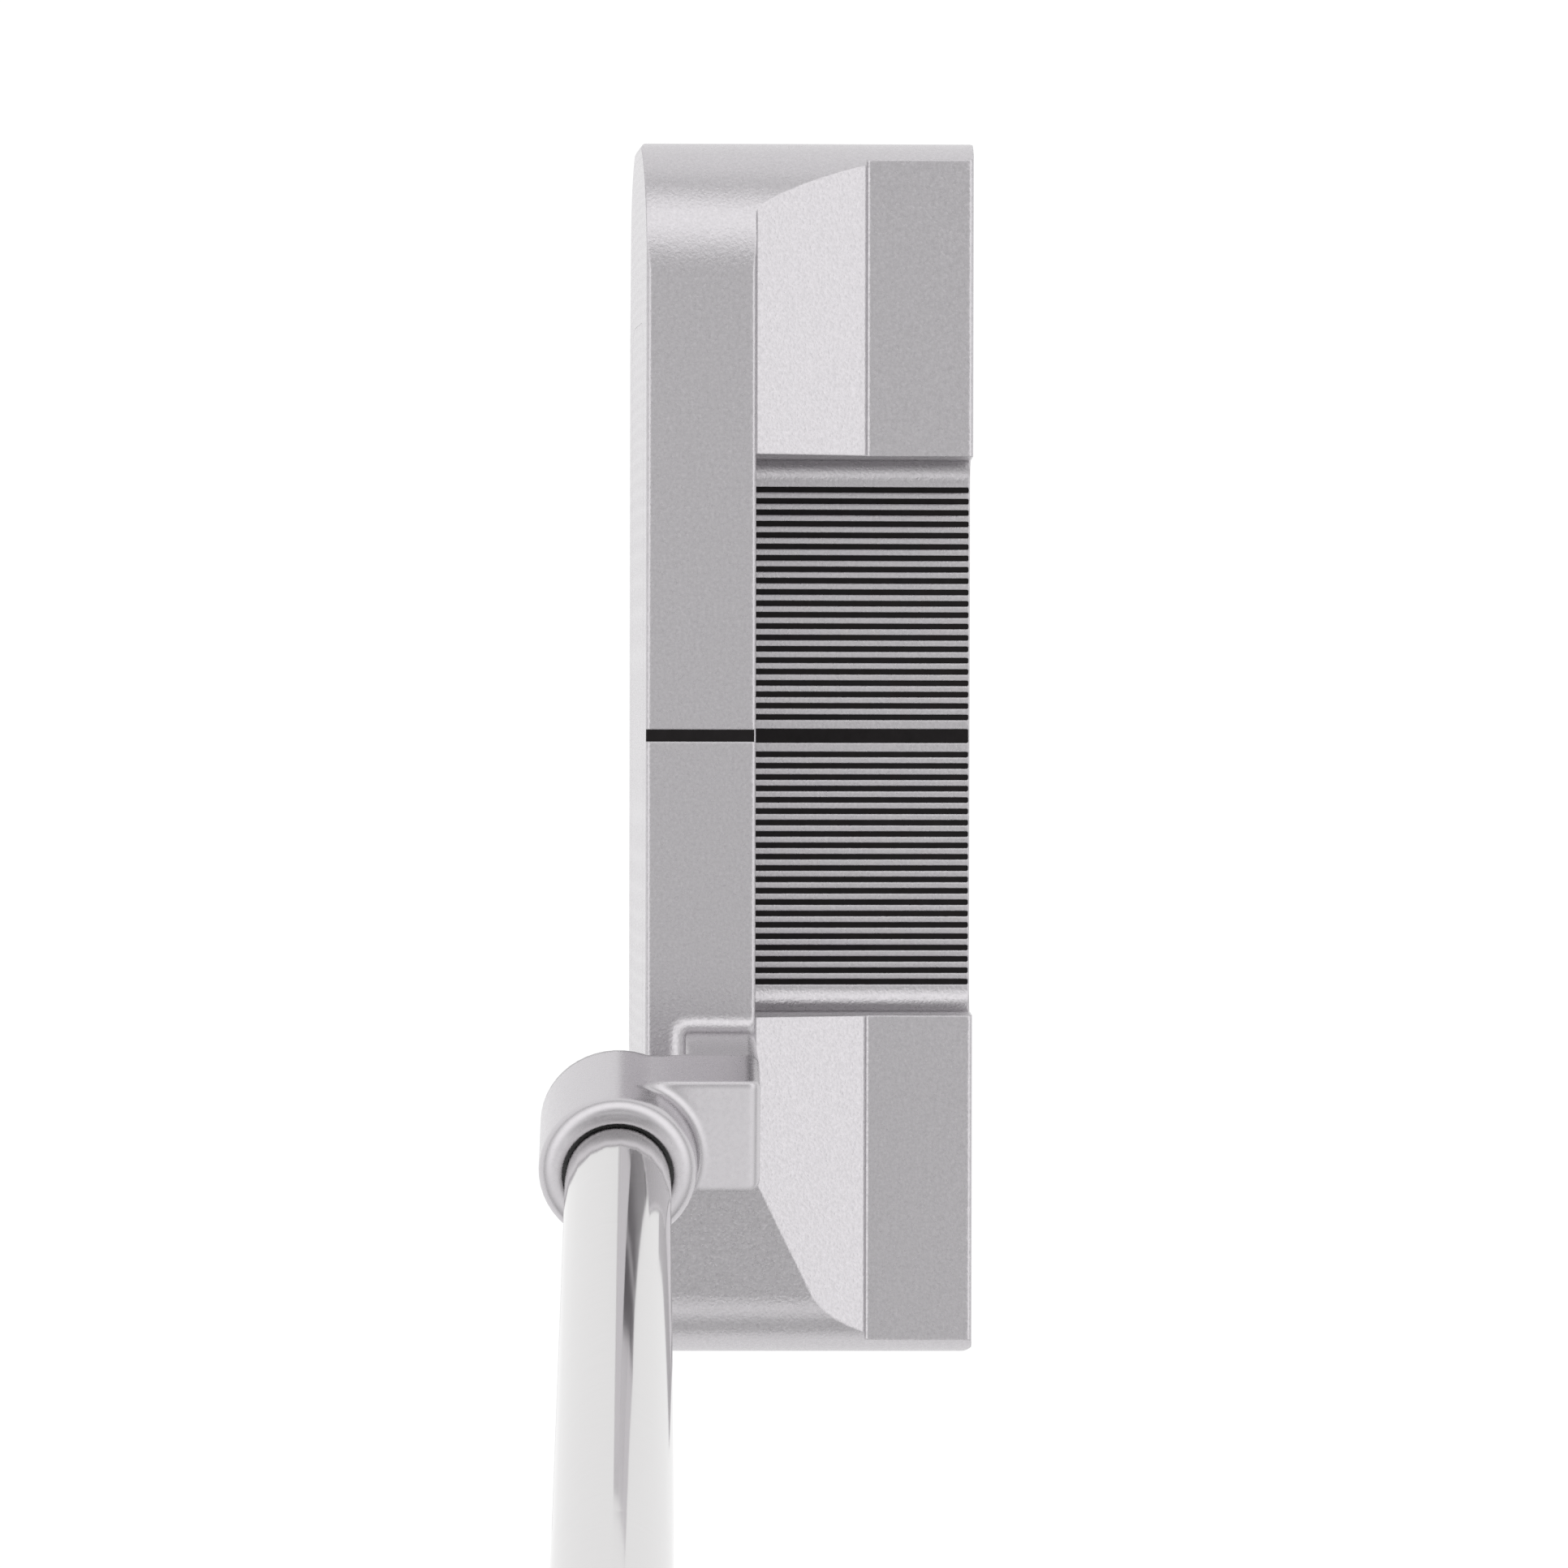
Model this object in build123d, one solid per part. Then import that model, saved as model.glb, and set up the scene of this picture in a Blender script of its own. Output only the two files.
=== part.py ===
from build123d import *
import os
from math import cos, hypot, radians, sin, tan

os.makedirs("parts", exist_ok=True)

# Heel-toe weighted blade putter, right-handed, millimetres.
# +X points to the heel, -X to the toe, -Y to the target, +Z up.
# The origin is on the flat of the sole, under the sight line.

# Head, outer form
TOE_X, HEEL_X = -56.4, 58.5
BACK_Y, BACK_TOP_Y = 16.5, 16.2
TOPLINE_Z = 25.0
LOFT = 4.0
LIE = 70.0
TOPLINE_FRONT_Y, TOPLINE_BACK_Y = -14.65, -4.38
FACE_FOOT_Y = TOPLINE_FRONT_Y - TOPLINE_Z * tan(radians(LOFT))
LEADING_EDGE_Z = 0.9
TOE_RADIUS, HEEL_RADIUS = 12.8, 7.0
HEEL_FALL_X, HEEL_FALL_ANGLE = 33.5, 9.75
SOLE_FLAT_X, SOLE_FRONT_Y, SOLE_BACK_Y = 21.0, -11.0, 8.0
SOLE_RISE, SOLE_BACK_RISE, SOLE_OVERCUT = 3.4, 3.2, 0.3
FRONT_CORNER, BACK_TOE_CORNER, BACK_HEEL_CORNER = 1.1, 0.9, 1.6
CORNER_CLEARANCE = 0.03

# Bumpers behind the topline: a slope, a small step, then a plateau
SLOPE_TOP_Z, SLOPE_FOOT_Z, PLATEAU_Z = 23.6, 19.9, 19.1
SLOPE_FOOT_Y = 6.08
EDGE = 0.35

# Cavity between the bumpers, open to the back
CAVITY_HALF_X = 26.4
CAVITY_FILLET = 2.4
FLOOR_FRONT_Z, FLOOR_FALL_ANGLE = 8.5, 2.4

# Sight lines: cut grooves, filled with paint to just under the surface
GROOVE_DEPTH, PAINT_DEPTH = 0.30, 0.22
THIN_LINES_EACH_SIDE = 21
THIN_LINE_WIDTH, THIN_LINE_FIRST_X, THIN_LINE_PITCH = 0.54, 1.79, 1.092
THICK_LINE_WIDTH = 1.35
FLANGE_LINE_LENGTH, FLANGE_LINE_CORNER = 20.7, 0.15
TOPLINE_LINE_WIDTH, TOPLINE_LINE_STOP = 1.14, 0.15

# Neck: post on the topline, arm forwards, barrel leaning at the lie angle
MOUTH = Vector(38.9, -17.0, 60.0)
BARREL_RADIUS, BARREL_LENGTH, BARREL_LIP = 7.03, 12.0, 1.35
BORE_RADIUS, BORE_DEPTH, BORE_CHAMFER = 4.9, 11.0, 0.2
ARM_TOP, ARM_BOTTOM, ARM_TOE, ARM_HEEL = 5.2, 11.5, 6.75, 3.8
ARM_UNDERSIDE_FILLET, ARM_BACK_EDGE = 2.5, 1.0
ARM_ROOT_RADIUS, ARM_TOE_BLEND, ARM_HEEL_BLEND = 1.0, 8.0, 2.5
POST_FRONT_Y, POST_TOE_X, POST_HEEL_X = -10.9, 27.6, 40.0
POST_ROOT_FILLET, POST_FRONT_EDGE = 1.6, 0.3
BARREL_SEAM_ANGLE = 200

# Face insert, bedded on a pad in a pocket
INSERT_LENGTH, INSERT_HEIGHT, INSERT_CORNER = 78.0, 16.0, 3.5
INSERT_CENTRE_UP = 12.9
INSERT_THICKNESS, PAD_THICKNESS = 4.2, 2.4
INSERT_GAP = 0.05

# Sole weights: flanged screws, each with a washer, in stepped bores
WEIGHT_X, WEIGHT_Y = (-40.5, 41.5), 5.6
WEIGHT_FLANGE_RADIUS, WEIGHT_SHANK_RADIUS = 7.2, 6.0
WEIGHT_BOTTOM_Z, WEIGHT_FLANGE_Z, WEIGHT_SEAT_Z, WEIGHT_TOP_Z = 2.4, 4.6, 5.4, 12.4
WEIGHT_SOCKET_ACROSS, WEIGHT_SOCKET_DEPTH = 5.0, 3.5
WASHER_OUTER, WASHER_INNER = 6.9, 6.15
BORE_GAP = 0.06
WEIGHT_BORE_TOP_Z = 13.4

# Shaft and grip: distances are along the shaft's axis from the barrel's mouth
CLUB_LENGTH = 864.0
BUTT = CLUB_LENGTH - MOUTH.Z / sin(radians(LIE))
CAP_THICKNESS = 3.5
SHAFT_WALL = 0.5
SHAFT_PROFILE = [(-10.9, 4.70), (0.0, 4.70), (75.0, 4.83), (520.0, 7.62), (BUTT - CAP_THICKNESS, 7.62)]
EPOXY_RECESS = 0.5
TAPE_THICKNESS = 0.25
GRIP_LENGTH = 267.0
GRIP_START = BUTT - GRIP_LENGTH
GRIP_BORE_RADIUS = 7.62 + TAPE_THICKNESS
# (distance from the butt, width, reach of the flat front, reach of the back, corner radius)
GRIP_SECTIONS = [
    (GRIP_LENGTH, 20.4, 9.7, 10.2, 6.0),
    (GRIP_LENGTH - 40, 23.6, 10.3, 11.4, 5.0),
    (150.0, 26.4, 10.7, 12.6, 4.5),
    (70.0, 28.4, 11.0, 14.6, 4.5),
    (CAP_THICKNESS, 29.6, 11.2, 18.0, 4.5),
]
CAP_VENT_RADIUS = 1.8

AXIS_DIRECTION = Vector(cos(radians(LIE)), 0, sin(radians(LIE)))


def hosel_plane(distance):
    """Plane across the shaft's axis: local x is +Y, local y points to the toe, z up the shaft."""
    return Plane(origin=MOUTH + AXIS_DIRECTION * distance, x_dir=(0, 1, 0), z_dir=AXIS_DIRECTION)


def lathe_plane():
    """Plane through the shaft's axis: local x is the radius, y the distance from the mouth."""
    return Plane(origin=MOUTH, x_dir=(0, 1, 0), z_dir=AXIS_DIRECTION.cross(Vector(0, 1, 0)) * -1)


def face_plane(depth=0.0):
    """Plane of the striking face, or one parallel to it at a depth: local y runs up the face."""
    tilt = radians(LOFT)
    normal = Vector(0, -cos(tilt), sin(tilt))
    return Plane(origin=Vector(0, FACE_FOOT_Y, 0) - normal * depth, x_dir=(1, 0, 0), z_dir=normal)


def floor_plane(depth=0.0):
    """Plane of the cavity's floor, or one parallel to it at a depth: local y runs to the back."""
    fall = radians(FLOOR_FALL_ANGLE)
    normal = Vector(0, sin(fall), cos(fall))
    front = Vector(0, TOPLINE_BACK_Y, FLOOR_FRONT_Z)
    return Plane(origin=front - normal * depth, x_dir=(1, 0, 0), z_dir=normal)


def outline(corners):
    """Face bounded by straight runs, each corner (x, y, radius) rounded."""
    face = make_face(Polyline(*[(x, y) for x, y, radius in corners], close=True))
    for x, y, radius in corners:
        corner = min(face.vertices(), key=lambda v: hypot(v.X - x, v.Y - y))
        face = fillet(corner, radius)
    return face


def side_section():
    """Section across the blade, in Y and Z: face, topline, step, slope, plateau, back, sole."""
    face_y = FACE_FOOT_Y + LEADING_EDGE_Z * tan(radians(LOFT))
    front_foot_y = SOLE_FRONT_Y + (SOLE_FRONT_Y - face_y) * SOLE_OVERCUT / LEADING_EDGE_Z
    back_foot_y = SOLE_BACK_Y - (BACK_Y - SOLE_BACK_Y) * SOLE_OVERCUT / SOLE_BACK_RISE
    return outline([
        (face_y, LEADING_EDGE_Z, 0.8),
        (TOPLINE_FRONT_Y, TOPLINE_Z, 0.45),
        (TOPLINE_BACK_Y, TOPLINE_Z, EDGE),
        (TOPLINE_BACK_Y, SLOPE_TOP_Z, 0.3),
        (SLOPE_FOOT_Y, SLOPE_FOOT_Z, EDGE),
        (SLOPE_FOOT_Y, PLATEAU_Z, 0.35),
        (BACK_TOP_Y, PLATEAU_Z, 0.45),
        (BACK_Y, SOLE_BACK_RISE, 1.2),
        (back_foot_y, -SOLE_OVERCUT, 0.1),
        (front_foot_y, -SOLE_OVERCUT, 0.1),
    ])


def front_outline():
    """Outline of the head seen from the front, in X and Z: sole, heel, topline, toe."""
    heel_top_z = TOPLINE_Z - (HEEL_X - HEEL_FALL_X) * tan(radians(HEEL_FALL_ANGLE))
    return outline([
        (-SOLE_FLAT_X, 0, 150.0),
        (SOLE_FLAT_X, 0, 150.0),
        (HEEL_X, SOLE_RISE, 6.0),
        (HEEL_X, heel_top_z, HEEL_RADIUS),
        (HEEL_FALL_X, TOPLINE_Z, 25.0),
        (TOE_X, TOPLINE_Z, TOE_RADIUS),
        (TOE_X, SOLE_RISE, 9.0),
    ])


def corner_blocks():
    """Blocks that round the head's corners seen from above: the front ones lean back with the face."""
    toe, heel = TOE_X - CORNER_CLEARANCE, HEEL_X + CORNER_CLEARANCE
    tilt = radians(LOFT)
    leaning = Plane(origin=(0, 0, 0), x_dir=(1, 0, 0), z_dir=(0, sin(tilt), cos(tilt)))
    face_y = FACE_FOOT_Y * cos(tilt) - CORNER_CLEARANCE
    front = outline([(toe, face_y, FRONT_CORNER), (heel, face_y, FRONT_CORNER), (heel, 60, 1), (toe, 60, 1)])
    back_y = BACK_Y + CORNER_CLEARANCE
    back = outline([(toe, -60, 1), (heel, -60, 1), (heel, back_y, BACK_HEEL_CORNER), (toe, back_y, BACK_TOE_CORNER)])
    return extrude(leaning * front, 60, both=True) & extrude(back, 60, both=True)


def cavity():
    """Space between the bumpers, with round corners along its floor."""
    fall = radians(FLOOR_FALL_ANGLE)
    along = Vector(0, cos(fall), -sin(fall))
    start = Vector(0, TOPLINE_BACK_Y, FLOOR_FRONT_Z) - along * 5
    across = Plane(origin=start, x_dir=(-1, 0, 0), z_dir=along)
    profile = outline([
        (-CAVITY_HALF_X, 0, CAVITY_FILLET),
        (CAVITY_HALF_X, 0, CAVITY_FILLET),
        (CAVITY_HALF_X, 30, 1.0),
        (-CAVITY_HALF_X, 30, 1.0),
    ])
    channel = extrude(across * profile, 40)
    behind_topline = Pos(0, TOPLINE_BACK_Y + 25, 25) * Box(80, 50, 60)
    return channel & behind_topline


def flange_lines(positions, width):
    """Straight lines from the topline's foot to the back, as sketches in the floor plane."""
    line = outline([
        (-width / 2, 0, 0.02),
        (width / 2, 0, 0.02),
        (width / 2, FLANGE_LINE_LENGTH, FLANGE_LINE_CORNER),
        (-width / 2, FLANGE_LINE_LENGTH, FLANGE_LINE_CORNER),
    ])
    return [Pos(x, 0) * line for x in positions]


def thin_line_positions():
    """Places of the thin lines along X, on both sides of the thick line."""
    one_side = [THIN_LINE_FIRST_X + THIN_LINE_PITCH * i for i in range(THIN_LINES_EACH_SIDE)]
    return [-x for x in reversed(one_side)] + one_side


def floor_bars(positions, width, height):
    """Bars standing on the bottoms of the floor's grooves."""
    bottom = floor_plane(GROOVE_DEPTH)
    return [extrude(bottom * line, height) for line in flange_lines(positions, width)]


def topline_bar(height):
    """Bar along the bottom of the topline's groove, running out through the face."""
    front, back = TOPLINE_FRONT_Y - 1, TOPLINE_BACK_Y - TOPLINE_LINE_STOP
    line = Pos(0, (front + back) / 2) * Rectangle(TOPLINE_LINE_WIDTH, back - front)
    return extrude(Pos(0, 0, TOPLINE_Z - GROOVE_DEPTH) * line, height)


def topline_paint():
    """Paint in the topline's groove, ending flush with the face."""
    blade = extrude(Plane.YZ * side_section(), TOPLINE_LINE_WIDTH, both=True)
    return topline_bar(PAINT_DEPTH) & blade


def across_arm(towards_toe, distance):
    """Point (x, z) at a distance along the shaft's axis and an offset towards the toe."""
    point = hosel_plane(distance).from_local_coords(Vector(0, towards_toe, 0))
    return (point.X, point.Z)


def elbow():
    """Post and arm: a bent bar seen from the side, cut to its outline seen from the front."""
    across = Vector(sin(radians(LIE)), 0, -cos(radians(LIE)))
    side_view = Plane(origin=(MOUTH.X, 0, MOUTH.Z), x_dir=(0, 1, 0), z_dir=across)
    bent_bar = outline([
        (MOUTH.Y, 3, 0.5),
        (MOUTH.Y, -ARM_BOTTOM, 0.5),
        (POST_FRONT_Y, -ARM_BOTTOM, ARM_UNDERSIDE_FILLET),
        (POST_FRONT_Y, -60, 0.5),
        (TOPLINE_BACK_Y, -60, 0.5),
        (TOPLINE_BACK_Y, 3, 0.5),
    ])
    front_view = make_face(Polyline(
        (POST_TOE_X, TOPLINE_Z - 2),
        across_arm(ARM_TOE, -ARM_BOTTOM),
        across_arm(ARM_TOE, -ARM_TOP),
        across_arm(-ARM_HEEL, -ARM_TOP),
        across_arm(-ARM_HEEL, -ARM_BOTTOM),
        (POST_HEEL_X, TOPLINE_Z - 4),
        close=True,
    ))
    return extrude(side_view * bent_bar, 40, both=True) & extrude(Plane.XZ * front_view, 30, both=True)


def arm_outline():
    """Barrel and arm seen along the shaft's axis, their sides blended into each other."""
    def on_barrel(vertex):
        return abs(hypot(vertex.X, vertex.Y) - BARREL_RADIUS) < 0.01

    reach = TOPLINE_BACK_Y - MOUTH.Y
    arm = Pos(reach / 2, (ARM_TOE - ARM_HEEL) / 2) * Rectangle(reach, ARM_TOE + ARM_HEEL)
    shape = (Circle(BARREL_RADIUS) + arm).faces()[0]
    toe_side = [v for v in shape.vertices() if on_barrel(v) and v.Y > 0]
    shape = fillet(toe_side, ARM_TOE_BLEND)
    heel_side = [v for v in shape.vertices() if on_barrel(v) and v.Y < 0 and v.X > 2]
    return fillet(heel_side, ARM_HEEL_BLEND)


def arm_root():
    """Ring that rounds the corner between the barrel and the arm's top."""
    inside, rim = BARREL_RADIUS - 0.5, BARREL_RADIUS + ARM_ROOT_RADIUS
    below, crest = -ARM_TOP - 0.5, -ARM_TOP + ARM_ROOT_RADIUS
    halfway = ARM_ROOT_RADIUS * (1 - sin(radians(45)))
    profile = make_face([
        Line((inside, below), (rim, below)),
        Line((rim, below), (rim, -ARM_TOP)),
        ThreePointArc((rim, -ARM_TOP), (BARREL_RADIUS + halfway, -ARM_TOP + halfway), (BARREL_RADIUS, crest)),
        Line((BARREL_RADIUS, crest), (inside, crest)),
        Line((inside, crest), (inside, below)),
    ])
    ring = revolve(lathe_plane() * profile, Axis(MOUTH, AXIS_DIRECTION), 360)
    return ring & extrude(hosel_plane(-ARM_BOTTOM) * arm_outline(), ARM_BOTTOM + crest)


def from_axis(point):
    """Distance along the shaft's axis from the mouth, and distance off the axis."""
    along = (point - MOUTH).dot(AXIS_DIRECTION)
    return along, (point - MOUTH - AXIS_DIRECTION * along).length


def edges_where(shape, test):
    """Edges whose start, middle and end all pass a test."""
    return [edge for edge in shape.edges() if all(test(edge.position_at(part)) for part in (0, 0.5, 1))]


def neck():
    """Plumber's neck: barrel, arm and post in one, without its bore."""
    def on_mouth(point):
        return abs(from_axis(point)[0]) < 0.01

    def on_back(point):
        return abs(point.Y - TOPLINE_BACK_Y) < 0.01

    def on_post_front(point):
        return abs(point.Y - POST_FRONT_Y) < 0.01

    barrel_foot = hosel_plane(-BARREL_LENGTH) * Rot(0, 0, BARREL_SEAM_ANGLE)
    body = extrude(barrel_foot * Circle(BARREL_RADIUS), BARREL_LENGTH) + elbow()
    body += extrude(hosel_plane(-ARM_BOTTOM) * arm_outline(), ARM_BOTTOM - ARM_TOP)
    body += arm_root()
    back_edges = [edge for edge in edges_where(body, on_back) if edge.center().Z > TOPLINE_Z + 5]
    body = fillet(back_edges, ARM_BACK_EDGE)
    front_edges = [edge for edge in edges_where(body, on_post_front) if edge.length > 20]
    body = fillet(front_edges, POST_FRONT_EDGE)
    return fillet(edges_where(body, on_mouth), BARREL_LIP)


def post_root(head):
    """Edges where the post stands on the topline."""
    return [edge for edge in head.edges()
            if abs(edge.center().Y - POST_FRONT_Y) < 0.3
            and POST_TOE_X < edge.center().X < POST_HEEL_X
            and abs(edge.center().Z - TOPLINE_Z) < 1.2]


def hosel_bore():
    """Blind bore for the shaft's tip, with a chamfered mouth."""
    bore = extrude(hosel_plane(-BORE_DEPTH) * Circle(BORE_RADIUS), BORE_DEPTH + 1)
    mouth = hosel_plane(-BORE_CHAMFER) * Circle(BORE_RADIUS)
    rim = hosel_plane(0) * Circle(BORE_RADIUS + BORE_CHAMFER)
    return bore + loft([mouth, rim])


def insert_shape(shrink=0.0):
    """The insert's outline in the face plane."""
    shape = RectangleRounded(INSERT_LENGTH - 2 * shrink, INSERT_HEIGHT - 2 * shrink, INSERT_CORNER)
    return Pos(0, INSERT_CENTRE_UP) * shape


def weight_bore(x):
    """Stepped bore in the sole for one weight."""
    sole_side = Pos(x, WEIGHT_Y, -2)
    mouth = extrude(sole_side * Circle(WEIGHT_FLANGE_RADIUS + 0.15), WEIGHT_SEAT_Z + 2)
    thread = extrude(sole_side * Circle(WEIGHT_SHANK_RADIUS + BORE_GAP), WEIGHT_BORE_TOP_Z + 2)
    return mouth + thread


def head_casting():
    """Blade, bumpers, flange and neck in one piece."""
    lengthways = extrude(Plane.YZ * side_section(), 80, both=True)
    crossways = extrude(Plane.XZ * front_outline(), 40, both=True)
    head = lengthways & crossways & corner_blocks()
    head -= cavity()
    head += neck()
    head = fillet(post_root(head), POST_ROOT_FILLET)
    head -= hosel_bore()
    head -= extrude(face_plane(INSERT_THICKNESS + PAD_THICKNESS) * insert_shape(), 20)
    for x in WEIGHT_X:
        head -= weight_bore(x)
    head -= floor_bars(thin_line_positions(), THIN_LINE_WIDTH, 1)
    head -= floor_bars([0], THICK_LINE_WIDTH, 1)
    head -= topline_bar(1)
    return head


def face_insert():
    """Plate in the face's pocket, flush with the face."""
    return extrude(face_plane(INSERT_THICKNESS) * insert_shape(INSERT_GAP), INSERT_THICKNESS)


def insert_pad():
    """Thin bedding pad between the insert and its pocket."""
    return extrude(face_plane(INSERT_THICKNESS + PAD_THICKNESS) * insert_shape(INSERT_GAP), PAD_THICKNESS)


def sole_weight(x):
    """Flanged weight screw with a hexagon socket, driven from below."""
    base = Pos(x, WEIGHT_Y, WEIGHT_BOTTOM_Z)
    flange = extrude(base * Circle(WEIGHT_FLANGE_RADIUS), WEIGHT_FLANGE_Z - WEIGHT_BOTTOM_Z)
    shank = extrude(base * Circle(WEIGHT_SHANK_RADIUS), WEIGHT_TOP_Z - WEIGHT_BOTTOM_Z)
    weight = flange + shank
    rims = weight.edges().filter_by(GeomType.CIRCLE).sort_by(Axis.Z)
    weight = chamfer([rims[0], rims[-1]], 0.4)
    socket_radius = WEIGHT_SOCKET_ACROSS / 2 / cos(radians(30))
    return weight - extrude(base * RegularPolygon(socket_radius, 6), WEIGHT_SOCKET_DEPTH)


def weight_washer(x):
    """Flat washer between a weight's flange and its seat."""
    ring = Circle(WASHER_OUTER) - Circle(WASHER_INNER)
    return extrude(Pos(x, WEIGHT_Y, WEIGHT_FLANGE_Z) * ring, WEIGHT_SEAT_Z - WEIGHT_FLANGE_Z)


def turned(profile):
    """Solid of revolution about the shaft's axis, from (distance, radius) points."""
    side = make_face(Polyline(*[(radius, distance) for distance, radius in profile], close=True))
    return revolve(lathe_plane() * side, Axis(MOUTH, AXIS_DIRECTION), 360)


def shaft():
    """Tapered steel tube from the bore's bottom to the end cap."""
    inside = [(distance, radius - SHAFT_WALL) for distance, radius in reversed(SHAFT_PROFILE)]
    return turned(SHAFT_PROFILE + inside)


def shaft_epoxy():
    """Cured adhesive between the tip and the bore, short of the mouth."""
    tip_radius = SHAFT_PROFILE[0][1]
    bottom, top = SHAFT_PROFILE[0][0], -EPOXY_RECESS
    return turned([(bottom, tip_radius), (top, tip_radius), (top, BORE_RADIUS), (bottom, BORE_RADIUS)])


def grip_tape():
    """Double-sided tape sleeve on the shaft's butt."""
    inner = GRIP_BORE_RADIUS - TAPE_THICKNESS
    bottom, top = GRIP_START + 6, BUTT - CAP_THICKNESS - 6
    return turned([(bottom, inner), (top, inner), (top, GRIP_BORE_RADIUS), (bottom, GRIP_BORE_RADIUS)])


def grip_section(distance, width, front, back, corner):
    """Pistol-grip section: flat front, tight front corners, round back."""
    half = width / 2
    front_line = Line((-half + corner, front), (half - corner, front))
    right = ThreePointArc((half - corner, front),
                          (half - corner * 0.293, front - corner * 0.293),
                          (half, front - corner))
    round_back = EllipticalCenterArc((0, front - corner), half, back + front - corner, 180, arc_size=180)
    left = ThreePointArc((-half, front - corner),
                         (-half + corner * 0.293, front - corner * 0.293),
                         (-half + corner, front))
    return hosel_plane(BUTT - distance) * make_face([front_line, right, round_back, left])


def grip_sleeve():
    """Rubber pistol grip with its flat front away from the player."""
    body = loft([grip_section(*section) for section in GRIP_SECTIONS])
    bore = extrude(hosel_plane(GRIP_START - 1) * Circle(GRIP_BORE_RADIUS), GRIP_LENGTH + 2)
    return body - bore


def grip_end_cap():
    """Closing cap on the grip's butt, with a vent hole."""
    disc = extrude(grip_section(*GRIP_SECTIONS[-1]), CAP_THICKNESS)
    rim = disc.edges().group_by(lambda edge: (edge.center() - MOUTH).dot(AXIS_DIRECTION))[-1]
    disc = fillet(rim, 1.5)
    return disc - extrude(hosel_plane(BUTT - CAP_THICKNESS) * Circle(CAP_VENT_RADIUS), CAP_THICKNESS + 1)


NODES = {
    "head_casting": head_casting,
    "face_insert": face_insert,
    "insert_pad": insert_pad,
    "toe_weight": lambda: sole_weight(WEIGHT_X[0]),
    "heel_weight": lambda: sole_weight(WEIGHT_X[1]),
    "toe_weight_washer": lambda: weight_washer(WEIGHT_X[0]),
    "heel_weight_washer": lambda: weight_washer(WEIGHT_X[1]),
    "flange_line_paint": lambda: Compound(floor_bars(thin_line_positions(), THIN_LINE_WIDTH, PAINT_DEPTH)),
    "flange_sight_line_paint": lambda: floor_bars([0], THICK_LINE_WIDTH, PAINT_DEPTH)[0],
    "topline_sight_line_paint": topline_paint,
    "shaft": shaft,
    "shaft_epoxy": shaft_epoxy,
    "grip_tape": grip_tape,
    "grip_sleeve": grip_sleeve,
    "grip_end_cap": grip_end_cap,
}

for name, make in NODES.items():
    export_step(make(), f"parts/{name}.step")
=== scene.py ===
from math import cos, pi, radians, sin

import bmesh
import bpy
from mathutils import Matrix, Vector
from mathutils.bvhtree import BVHTree


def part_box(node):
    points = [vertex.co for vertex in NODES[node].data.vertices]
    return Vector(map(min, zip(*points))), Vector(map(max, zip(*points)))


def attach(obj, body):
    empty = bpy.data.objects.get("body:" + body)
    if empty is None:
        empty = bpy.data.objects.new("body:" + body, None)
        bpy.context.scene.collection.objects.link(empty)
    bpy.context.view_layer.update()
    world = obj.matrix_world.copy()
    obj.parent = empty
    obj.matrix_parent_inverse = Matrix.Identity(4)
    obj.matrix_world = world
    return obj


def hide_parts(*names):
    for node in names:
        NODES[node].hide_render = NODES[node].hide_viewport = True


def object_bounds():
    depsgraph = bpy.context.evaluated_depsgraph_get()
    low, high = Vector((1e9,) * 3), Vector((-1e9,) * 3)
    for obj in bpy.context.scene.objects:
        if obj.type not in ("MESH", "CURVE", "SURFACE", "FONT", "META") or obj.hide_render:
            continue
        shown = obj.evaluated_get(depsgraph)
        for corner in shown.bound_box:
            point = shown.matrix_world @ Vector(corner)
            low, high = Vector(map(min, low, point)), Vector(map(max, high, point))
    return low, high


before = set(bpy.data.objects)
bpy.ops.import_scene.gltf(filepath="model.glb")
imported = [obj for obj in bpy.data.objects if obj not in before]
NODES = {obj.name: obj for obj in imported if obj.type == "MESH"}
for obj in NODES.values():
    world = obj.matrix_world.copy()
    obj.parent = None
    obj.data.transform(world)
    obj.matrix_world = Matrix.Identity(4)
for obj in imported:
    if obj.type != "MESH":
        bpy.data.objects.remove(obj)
CAD_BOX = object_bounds()

# Camera: a long lens looking almost straight down, toe at the top
SENSOR_MM = 36.0
LENS_MM = 153.06
CAMERA_PLACE = Vector((-0.00036, -0.01358, 0.64851))
CAMERA_VIEW = Vector((0.00781, 0.01899, -0.99979))
CAMERA_UP = Vector((-0.99997, -0.00179, -0.00784))

# Shaft axis, from the lie angle and the mouth of the barrel
LIE = radians(70)
AXIS = Vector((cos(LIE), 0, sin(LIE)))
MOUTH = Vector((0.0389, -0.0170, 0.0600))

# Finish of the head: radii of its broken edges, the milling cutter's marks on the face, and the
# height over which the blasted head becomes the polished neck, painted lighter there as a painted
# highlight
EDGE_BREAK = 0.00028
NECK_EDGE = 0.0008
MILLING_PITCH = 0.0011
CUTTER_CENTRES = (-0.055, 0.085)
MILLING_DEPTH = 0.00002
TOPLINE_Z = 0.0251
NECK_FINISH_AND_HIGHLIGHT_Z = (0.0256, 0.0280)
FACE_NORMAL_Y = -0.98
# Two tones for the blasted grain; the light one is also painted over the face and the neck as a painted
# highlight
DARK_STEEL = (0.515, 0.499, 0.517)
LIGHT_STEEL = (0.590, 0.572, 0.592)
BLAST_SCALE = 3600
BLAST_DEPTH = 0.00004


# ---------------------------------------------------------------- nodes for materials

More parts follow.
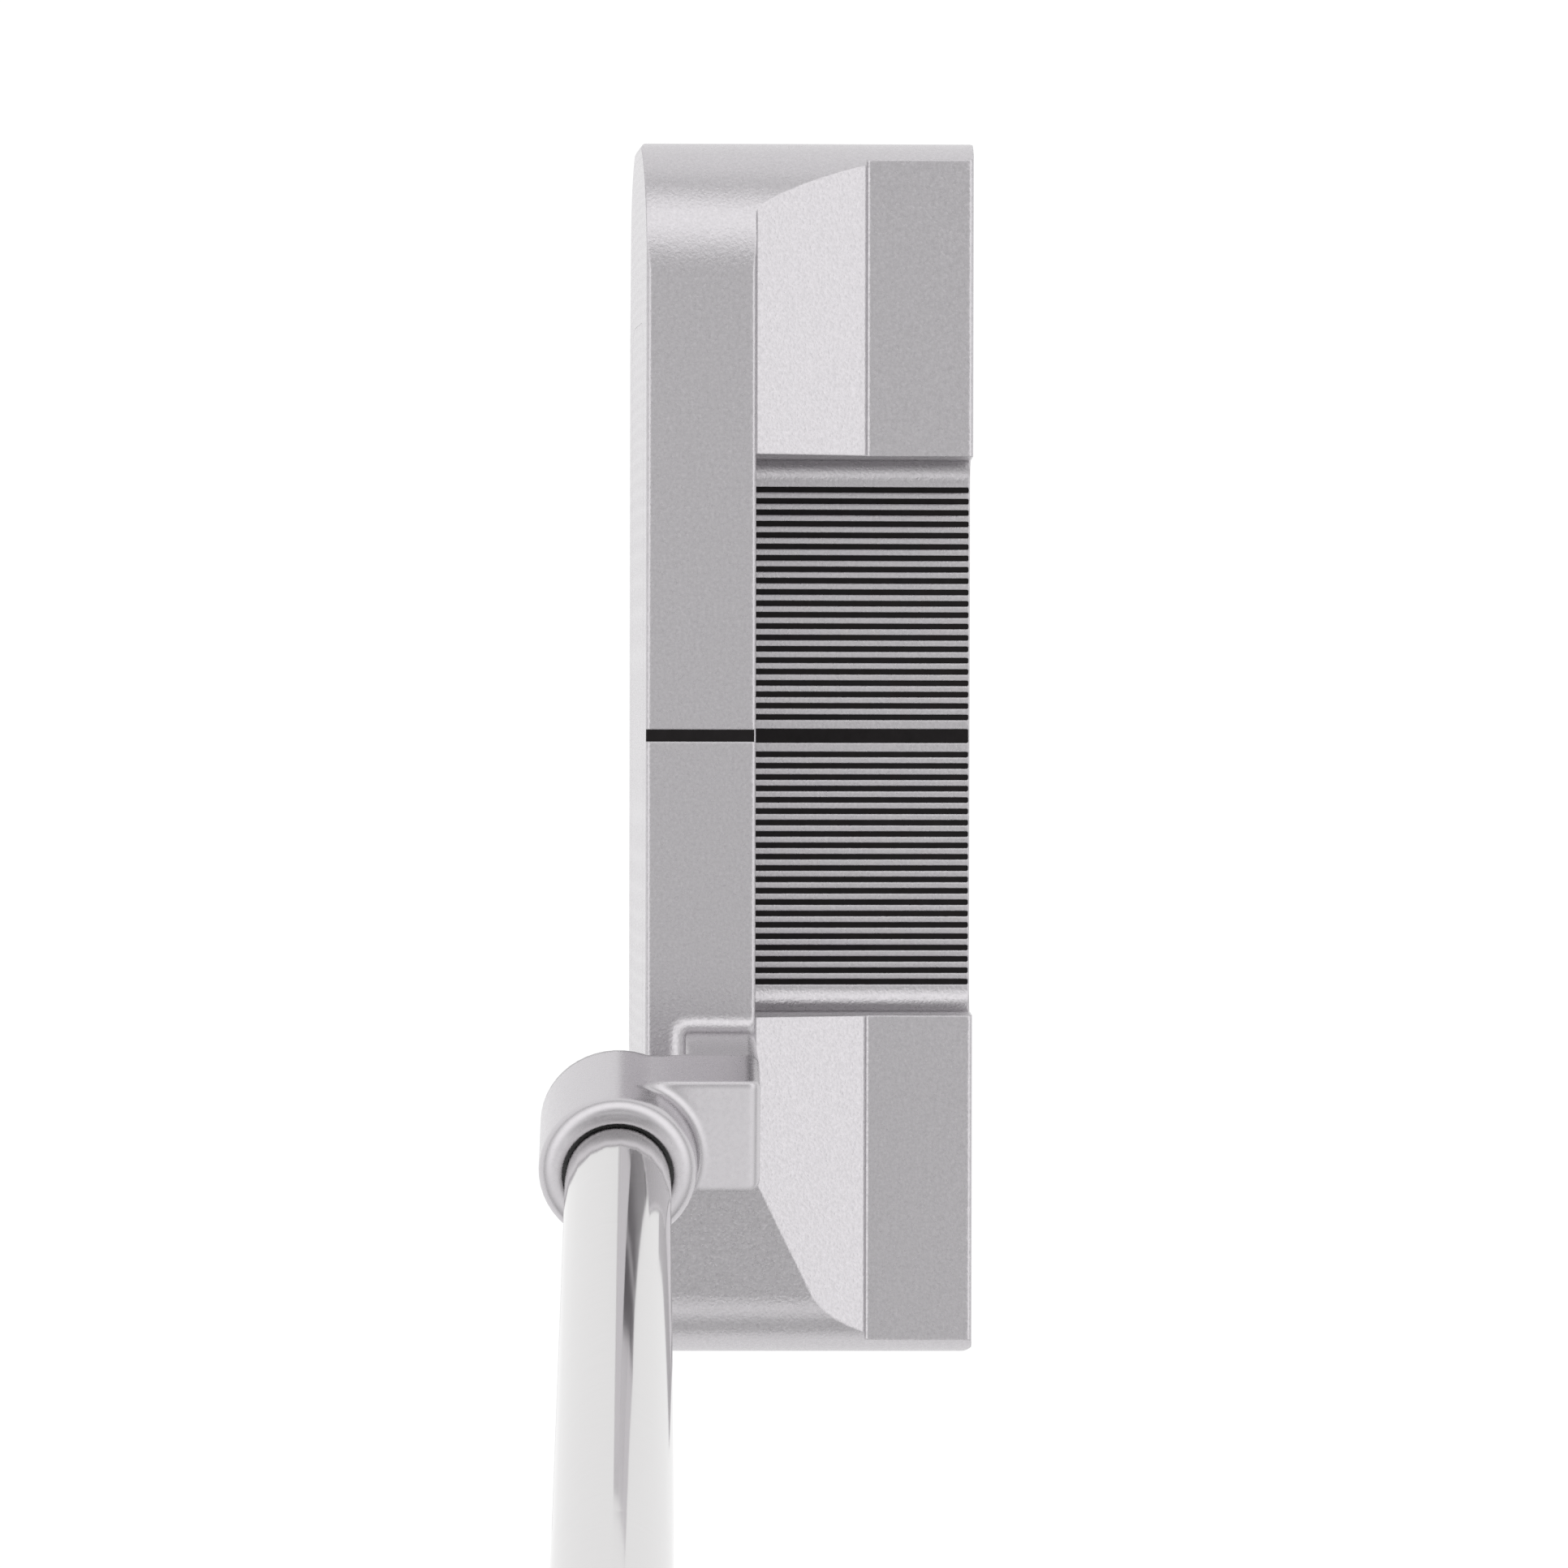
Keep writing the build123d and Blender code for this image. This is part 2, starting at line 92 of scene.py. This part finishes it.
class Nodes:
    """Short ways to add nodes to a node tree."""

    def __init__(self, tree):
        self.tree = tree

    def add(self, kind, **settings):
        node = self.tree.nodes.new(kind)
        for key, value in settings.items():
            setattr(node, key, value)
        return node

    def link(self, output, socket):
        self.tree.links.new(output, socket)

    def math(self, operation, first, second=0.0):
        node = self.add("ShaderNodeMath", operation=operation)
        for socket, value in zip(node.inputs, (first, second)):
            if isinstance(value, float):
                socket.default_value = value
            else:
                self.link(value, socket)
        return node.outputs[0]

    def split(self, vector):
        apart = self.add("ShaderNodeSeparateXYZ")
        self.link(vector, apart.inputs["Vector"])
        return apart.outputs


class Shader(Nodes):
    """A material with its Principled shader."""

    def __init__(self, name):
        self.material = bpy.data.materials.new(name)
        self.material.use_nodes = True
        super().__init__(self.material.node_tree)
        self.bsdf = self.tree.nodes["Principled BSDF"]
        self.place = self.add("ShaderNodeTexCoord").outputs["Object"]

    def set(self, **sockets):
        for name, value in sockets.items():
            self.bsdf.inputs[name.replace("_", " ")].default_value = value

    def noise(self, scale, detail=2.0, rough=0.5, place=None):
        node = self.add("ShaderNodeTexNoise")
        node.inputs["Scale"].default_value = scale
        node.inputs["Detail"].default_value = detail
        node.inputs["Roughness"].default_value = rough
        self.link(place or self.place, node.inputs["Vector"])
        return node.outputs["Fac"]

    def spread(self, value, low, high, start=0.3, end=0.7):
        node = self.add("ShaderNodeMapRange")
        node.inputs["From Min"].default_value = start
        node.inputs["From Max"].default_value = end
        node.inputs["To Min"].default_value = low
        node.inputs["To Max"].default_value = high
        self.link(value, node.inputs["Value"])
        return node.outputs["Result"]

    def mix(self, factor, first, second):
        node = self.add("ShaderNodeMix", data_type="RGBA")
        node.inputs["A"].default_value = (*first, 1)
        node.inputs["B"].default_value = (*second, 1)
        self.link(factor, node.inputs["Factor"])
        return node.outputs["Result"]

    def bump(self, height, distance, strength=1.0, under=None):
        node = self.add("ShaderNodeBump")
        node.inputs["Distance"].default_value = distance
        node.inputs["Strength"].default_value = strength
        self.link(height, node.inputs["Height"])
        if under is not None:
            self.link(under, node.inputs["Normal"])
        self.link(node.outputs["Normal"], self.bsdf.inputs["Normal"])
        return node.outputs["Normal"]

    def rounded(self, radius):
        node = self.add("ShaderNodeBevel", samples=8)
        if isinstance(radius, float):
            node.inputs["Radius"].default_value = radius
        else:
            self.link(radius, node.inputs["Radius"])
        return node.outputs["Normal"]

    def on_face(self):
        """1 on the striking face below the topline, 0 everywhere else."""
        facing = self.split(self.add("ShaderNodeNewGeometry").outputs["True Normal"])
        forwards = self.math("LESS_THAN", facing["Y"], FACE_NORMAL_Y)
        below_topline = self.math("LESS_THAN", self.split(self.place)["Z"], TOPLINE_Z)
        return self.math("MULTIPLY", forwards, below_topline)

    def milling(self, face):
        """Height of the cutter's crossed arcs on the striking face."""
        place = self.split(self.place)
        x_squared = self.math("MULTIPLY", place["X"], place["X"])
        height = None
        for centre_z in CUTTER_CENTRES:
            off = self.math("SUBTRACT", place["Z"], centre_z)
            reach = self.math("SQRT", self.math("ADD", x_squared, self.math("MULTIPLY", off, off)))
            wave = self.math("SINE", self.math("MULTIPLY", reach, 2 * pi / MILLING_PITCH))
            height = wave if height is None else self.math("ADD", height, wave)
        return self.math("MULTIPLY", height, face)

    def stretched(self, scale):
        node = self.add("ShaderNodeMapping")
        node.inputs["Scale"].default_value = scale
        self.link(self.place, node.inputs["Vector"])
        return node.outputs["Vector"]


def satin_steel():
    """Stainless steel: the head bead-blasted, the face milled in arcs, the neck polished smooth; face and
    neck are also painted a lighter steel, a painted highlight.
    """
    s = Shader("satin_steel")
    s.set(Metallic=1.0)
    face = s.on_face()
    neck = s.spread(s.split(s.place)["Z"], 0, 1, *NECK_FINISH_AND_HIGHLIGHT_Z)
    machined = s.math("MAXIMUM", face, neck)
    grain = s.noise(BLAST_SCALE, 2, 0.6)
    blasted = s.math("SUBTRACT", 1.0, machined)
    mottle = s.math("MULTIPLY", s.spread(grain, 0, 1), blasted)
    # Face and neck take the light steel whatever the grain, a painted highlight that brightens them;
    # elsewhere the grain's mottle is the metal's own tone
    mottle_and_painted_highlight = s.math("ADD", mottle, s.math("MAXIMUM", face, s.math("MULTIPLY", neck, 0.7)))
    s.link(s.mix(mottle_and_painted_highlight, DARK_STEEL, LIGHT_STEEL), s.bsdf.inputs["Base Color"])
    roughness = s.spread(s.noise(2400), 0.26, 0.34)
    s.link(s.math("SUBTRACT", roughness, s.math("MULTIPLY", machined, 0.05)), s.bsdf.inputs["Roughness"])
    edges = s.math("ADD", s.math("MULTIPLY", neck, NECK_EDGE - EDGE_BREAK), EDGE_BREAK)
    milled = s.bump(s.milling(face), MILLING_DEPTH, 1.0, s.rounded(edges))
    s.bump(s.math("MULTIPLY", grain, blasted), BLAST_DEPTH, 1.0, milled)
    return s.material


def turned_steel(centre):
    """Sole weight: fine rings about the screw's own axis."""
    s = Shader("weight_steel")
    s.set(Metallic=1.0)
    moved = s.add("ShaderNodeMapping")
    moved.inputs["Location"].default_value = (-centre.x, -centre.y, 0)
    s.link(s.place, moved.inputs["Vector"])
    wave = s.add("ShaderNodeTexWave", wave_type="RINGS", rings_direction="Z")
    wave.inputs["Scale"].default_value = 1100
    wave.inputs["Distortion"].default_value = 0.3
    s.link(moved.outputs["Vector"], wave.inputs["Vector"])
    s.link(s.mix(s.noise(300), (0.26, 0.26, 0.27), (0.34, 0.34, 0.35)), s.bsdf.inputs["Base Color"])
    s.link(s.spread(s.noise(2600), 0.22, 0.34), s.bsdf.inputs["Roughness"])
    s.bump(wave.outputs["Fac"], 0.000015, 0.5, s.rounded(EDGE_BREAK))
    return s.material


def line_paint():
    """Black paint sunk in its groove, slightly uneven."""
    s = Shader("line_paint")
    s.set(Specular_IOR_Level=0.12)
    s.link(s.mix(s.noise(900), (0.006, 0.005, 0.005), (0.013, 0.011, 0.012)), s.bsdf.inputs["Base Color"])
    s.link(s.spread(s.noise(2400), 0.45, 0.65), s.bsdf.inputs["Roughness"])
    s.bump(s.noise(3000), 0.00002, 0.4)
    return s.material


def shaft_chrome():
    """Bright plating with hair-fine polishing marks round the tube."""
    s = Shader("shaft_chrome")
    s.set(Metallic=1.0)
    marks = s.noise(1.0, 2, 0.5, s.stretched((300, 300, 9000)))
    s.link(s.mix(marks, (0.67, 0.662, 0.664), (0.71, 0.702, 0.702)), s.bsdf.inputs["Base Color"])
    s.link(s.spread(marks, 0.06, 0.09), s.bsdf.inputs["Roughness"])
    s.bump(marks, 0.000002, 0.3)
    return s.material


def dark_gloss(name, colour, low, high, scale):
    s = Shader(name)
    lighter = tuple(c * 1.8 for c in colour)
    s.link(s.mix(s.noise(scale), colour, lighter), s.bsdf.inputs["Base Color"])
    s.link(s.spread(s.noise(scale * 3), low, high), s.bsdf.inputs["Roughness"])
    s.bump(s.noise(scale * 2), 0.00003, 0.4)
    return s.material


def grip_rubber():
    """Matt black rubber with a fine moulded grain and a little wear on the high spots."""
    s = Shader("grip_rubber")
    s.set(Specular_IOR_Level=0.4)
    geometry = s.add("ShaderNodeNewGeometry")
    wear = s.spread(geometry.outputs["Pointiness"], 0, 1, 0.50, 0.56)
    s.link(s.mix(wear, (0.010, 0.010, 0.011), (0.026, 0.026, 0.027)), s.bsdf.inputs["Base Color"])
    grain = s.noise(2200, 3, 0.6)
    s.link(s.spread(grain, 0.55, 0.75), s.bsdf.inputs["Roughness"])
    s.bump(grain, 0.00006, 0.5)
    return s.material


def tape_paper():
    s = Shader("tape_paper")
    crepe = s.noise(1.0, 3, 0.6, s.stretched((1500, 1500, 5000)))
    s.link(s.mix(crepe, (0.50, 0.47, 0.38), (0.62, 0.59, 0.50)), s.bsdf.inputs["Base Color"])
    s.set(Roughness=0.8)
    s.bump(crepe, 0.00005, 0.5)
    return s.material


def pale_floor():
    """White paper, lit a little from behind as well as from above."""
    s = Shader("pale_floor")
    s.link(s.mix(s.noise(3), (0.12, 0.12, 0.12), (0.13, 0.13, 0.13)), s.bsdf.inputs["Base Color"])
    s.set(Roughness=0.9, Specular_IOR_Level=0.0)
    s.set(Emission_Color=(1.0, 1.0, 1.0, 1.0), Emission_Strength=0.92)
    return s.material


def paint(node, material):
    mesh = NODES[node].data
    mesh.materials.clear()
    mesh.materials.append(material)


# ---------------------------------------------------------------- grip

RINGS, SPOKES = 560, 240
PATTERN_DEPTH = 0.00035
RIB_PITCH = 0.0026
DIMPLE_ROW = 0.0031
DIMPLES_ROUND = 30
RING_PLACES = (0.006, 0.009)
END_ROUND = 0.0014
INSIDE_END = 0.00002
RAY_START = 0.05


def grip_frame():
    """Unit vectors across the shaft: to the back of the head, and away from the player."""
    back = Vector((0, 1, 0))
    return back, AXIS.cross(back)


def smooth_step(value, low, high):
    share = min(max((value - low) / (high - low), 0.0), 1.0)
    return share * share * (3 - 2 * share)


def pattern(angle, along, length):
    """Depth of the moulded pattern, 0 to 1. angle is from the flat's middle, along from the lower end."""
    ends = smooth_step(along, 0.012, 0.014) * (1 - smooth_step(along, length - 0.016, length - 0.014))
    spread = abs(angle)
    border = smooth_step(spread, 0.66, 0.69) * (1 - smooth_step(spread, 0.74, 0.77))
    rib_phase = (along / RIB_PITCH) % 1.0
    rib = smooth_step(abs(rib_phase - 0.5), 0.27, 0.36)
    front = rib * (1 - smooth_step(spread, 0.52, 0.58))
    row = along / DIMPLE_ROW
    shift = 0.5 * (int(row) % 2)
    across = ((angle + pi) / (2 * pi / DIMPLES_ROUND) + shift) % 1.0 - 0.5
    up = row % 1.0 - 0.5
    reach = (across * 1.9) ** 2 + (up * 2.3) ** 2
    dimple = (1 - smooth_step(reach, 0.25, 0.75)) * smooth_step(spread, 0.86, 0.92)
    ring = sum(1 - smooth_step(abs(along - place), 0.0005, 0.0010) for place in RING_PLACES)
    return max(ends * max(border, front, dimple), min(ring, 1.0))


def textured_grip():
    """The grip's outer skin follows its CAD solid, with the pattern pressed into it."""
    source = NODES["grip_sleeve"].data
    points = [v.co.copy() for v in source.vertices]
    tree = BVHTree.FromPolygons(points, [tuple(p.vertices) for p in source.polygons])
    side, front = grip_frame()
    heights = [(point - MOUTH).dot(AXIS) for point in points]
    low, high = min(heights), max(heights)
    length = high - low
    bore = min((point - MOUTH - AXIS * height).length for point, height in zip(points, heights))
    verts, faces = [], []
    for ring in range(RINGS + 1):
        along = length * ring / RINGS
        height = min(max(low + along, low + INSIDE_END), high - INSIDE_END)
        middle = MOUTH + AXIS * height
        for spoke in range(SPOKES):
            angle = 2 * pi * spoke / SPOKES - pi
            outward = front * cos(angle) + side * sin(angle)
            hit = tree.ray_cast(middle + outward * RAY_START, -outward)[0]
            radius = (hit - middle).length
            lip = END_ROUND * (1 - min(along, END_ROUND) / END_ROUND) ** 2
            depth = PATTERN_DEPTH * pattern(angle, along, length)
            verts.append(MOUTH + AXIS * (low + along) + outward * (radius - depth - lip))
    for end, height in ((0, low), (1, high)):
        for spoke in range(SPOKES):
            angle = 2 * pi * spoke / SPOKES - pi
            outward = front * cos(angle) + side * sin(angle)
            verts.append(MOUTH + AXIS * height + outward * bore)
    inner_low = (RINGS + 1) * SPOKES
    inner_high = inner_low + SPOKES
    for spoke in range(SPOKES):
        nxt = (spoke + 1) % SPOKES
        for ring in range(RINGS):
            a, b = ring * SPOKES, (ring + 1) * SPOKES
            faces.append((a + spoke, a + nxt, b + nxt, b + spoke))
        top = RINGS * SPOKES
        faces.append((spoke, inner_low + spoke, inner_low + nxt, nxt))
        faces.append((top + spoke, top + nxt, inner_high + nxt, inner_high + spoke))
        faces.append((inner_low + spoke, inner_high + spoke, inner_high + nxt, inner_low + nxt))
    mesh = bpy.data.meshes.new("grip_sleeve_moulded")
    mesh.from_pydata(verts, [], faces)
    shell = bmesh.new()
    shell.from_mesh(mesh)
    bmesh.ops.recalc_face_normals(shell, faces=shell.faces)
    shell.to_mesh(mesh)
    shell.free()
    mesh.polygons.foreach_set("use_smooth", [True] * len(mesh.polygons))
    grip = bpy.data.objects.new("grip_sleeve_moulded", mesh)
    bpy.context.scene.collection.objects.link(grip)
    return grip


# ---------------------------------------------------------------- stage

def set_camera():
    data = bpy.data.cameras.new("camera")
    data.sensor_width = SENSOR_MM
    data.lens = LENS_MM
    data.clip_start = 0.01
    data.clip_end = 20
    camera = bpy.data.objects.new("camera", data)
    bpy.context.scene.collection.objects.link(camera)
    back = -CAMERA_VIEW.normalized()
    right = CAMERA_UP.cross(back).normalized()
    up = back.cross(right)
    turn = Matrix((right, up, back)).transposed()
    camera.matrix_world = Matrix.Translation(CAMERA_PLACE) @ turn.to_4x4()
    bpy.context.scene.camera = camera


# Brightness of the studio by angle from straight up, in degrees. A dim panel hangs overhead, with
# bright walls in front, behind and past the toe. Towards the toe is negative along the head, and
# towards the face is negative across it.
ALONG_HEAD = [(-90, 0.46), (-75, 0.98), (-62, 1.38), (-45, 1.42), (-34, 1.30), (-20, 0.82), (-7, 0.52),
              (2, 0.80), (8, 1.02), (15, 0.74), (24, 0.40), (34, 0.70), (46, 1.14), (60, 0.85), (90, 0.40)]
ACROSS_HEAD = [(-90, 0.46), (-72, 1.00), (-45, 1.42), (-28, 1.15), (-16, 0.70), (0, 0.69), (14, 0.68),
               (28, 1.10), (40, 1.46), (60, 1.36), (75, 0.90), (90, 0.46)]
BRIGHTEST = 2.0
NOT_ZERO = 0.000001


FLOOR_REACH = 6.0
FLOOR_GAP = 0.0002


def set_world():
    world = bpy.data.worlds.new("studio")
    world.use_nodes = True
    nodes = Nodes(world.node_tree)

    def ramp(stops, towards):
        signed = nodes.math("MULTIPLY", from_zenith, nodes.math("SIGN", towards))
        node = nodes.add("ShaderNodeFloatCurve")
        curve = node.mapping.curves[0]
        curve.points[0].location = (0.0, stops[0][1] / BRIGHTEST)
        curve.points[1].location = (1.0, stops[-1][1] / BRIGHTEST)
        for angle, level in stops[1:-1]:
            curve.points.new((angle + 90) / 180, level / BRIGHTEST)
        node.mapping.extend = "HORIZONTAL"
        node.mapping.update()
        nodes.link(nodes.math("ADD", nodes.math("DIVIDE", signed, pi), 0.5), node.inputs["Value"])
        return nodes.math("MULTIPLY", node.outputs["Value"], BRIGHTEST)

    x, y, z = nodes.split(nodes.add("ShaderNodeTexCoord").outputs["Generated"])
    from_zenith = nodes.math("ARCCOSINE", z)
    across = nodes.math("MULTIPLY", y, y)
    along = nodes.math("MULTIPLY", x, x)
    level_ground = nodes.math("ADD", nodes.math("ADD", along, across), NOT_ZERO)
    sideways = nodes.math("DIVIDE", across, level_ground)
    blend = nodes.add("ShaderNodeMix", data_type="FLOAT")
    nodes.link(sideways, blend.inputs[0])
    nodes.link(ramp(ALONG_HEAD, x), blend.inputs[2])
    nodes.link(ramp(ACROSS_HEAD, y), blend.inputs[3])
    background = nodes.tree.nodes["Background"]
    background.inputs["Color"].default_value = (1.0, 1.0, 1.0, 1)
    nodes.link(blend.outputs[0], background.inputs["Strength"])
    bpy.context.scene.world = world


def make_floor(material):
    height = CAD_BOX[0][2] - FLOOR_GAP
    mesh = bpy.data.meshes.new("floor")
    corners = [(-1, -1), (1, -1), (1, 1), (-1, 1)]
    mesh.from_pydata([(x * FLOOR_REACH, y * FLOOR_REACH, height) for x, y in corners], [], [(0, 1, 2, 3)])
    mesh.materials.append(material)
    floor = bpy.data.objects.new("floor", mesh)
    bpy.context.scene.collection.objects.link(floor)


# ---------------------------------------------------------------- build

set_camera()
set_world()
make_floor(pale_floor())

steel = satin_steel()
paint("head_casting", steel)
paint("face_insert", steel)
paint("insert_pad", dark_gloss("pad_elastomer", (0.03, 0.03, 0.03), 0.5, 0.7, 800))
washer = dark_gloss("washer_nylon", (0.035, 0.035, 0.036), 0.4, 0.6, 900)
for end in ("toe", "heel"):
    low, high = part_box(f"{end}_weight")
    paint(f"{end}_weight", turned_steel((low + high) / 2))
    paint(f"{end}_weight_washer", washer)
lines = line_paint()
for node in ("flange_line_paint", "flange_sight_line_paint", "topline_sight_line_paint"):
    paint(node, lines)
paint("shaft", shaft_chrome())
paint("shaft_epoxy", dark_gloss("cured_epoxy", (0.006, 0.006, 0.006), 0.15, 0.3, 700))
paint("grip_tape", tape_paper())
rubber = grip_rubber()
paint("grip_sleeve", rubber)
paint("grip_end_cap", dark_gloss("cap_rubber", (0.011, 0.011, 0.012), 0.45, 0.6, 1200))

grip = textured_grip()
grip.data.materials.append(rubber)
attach(grip, "club")
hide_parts("grip_sleeve")

bpy.context.scene.view_settings.view_transform = "Standard"
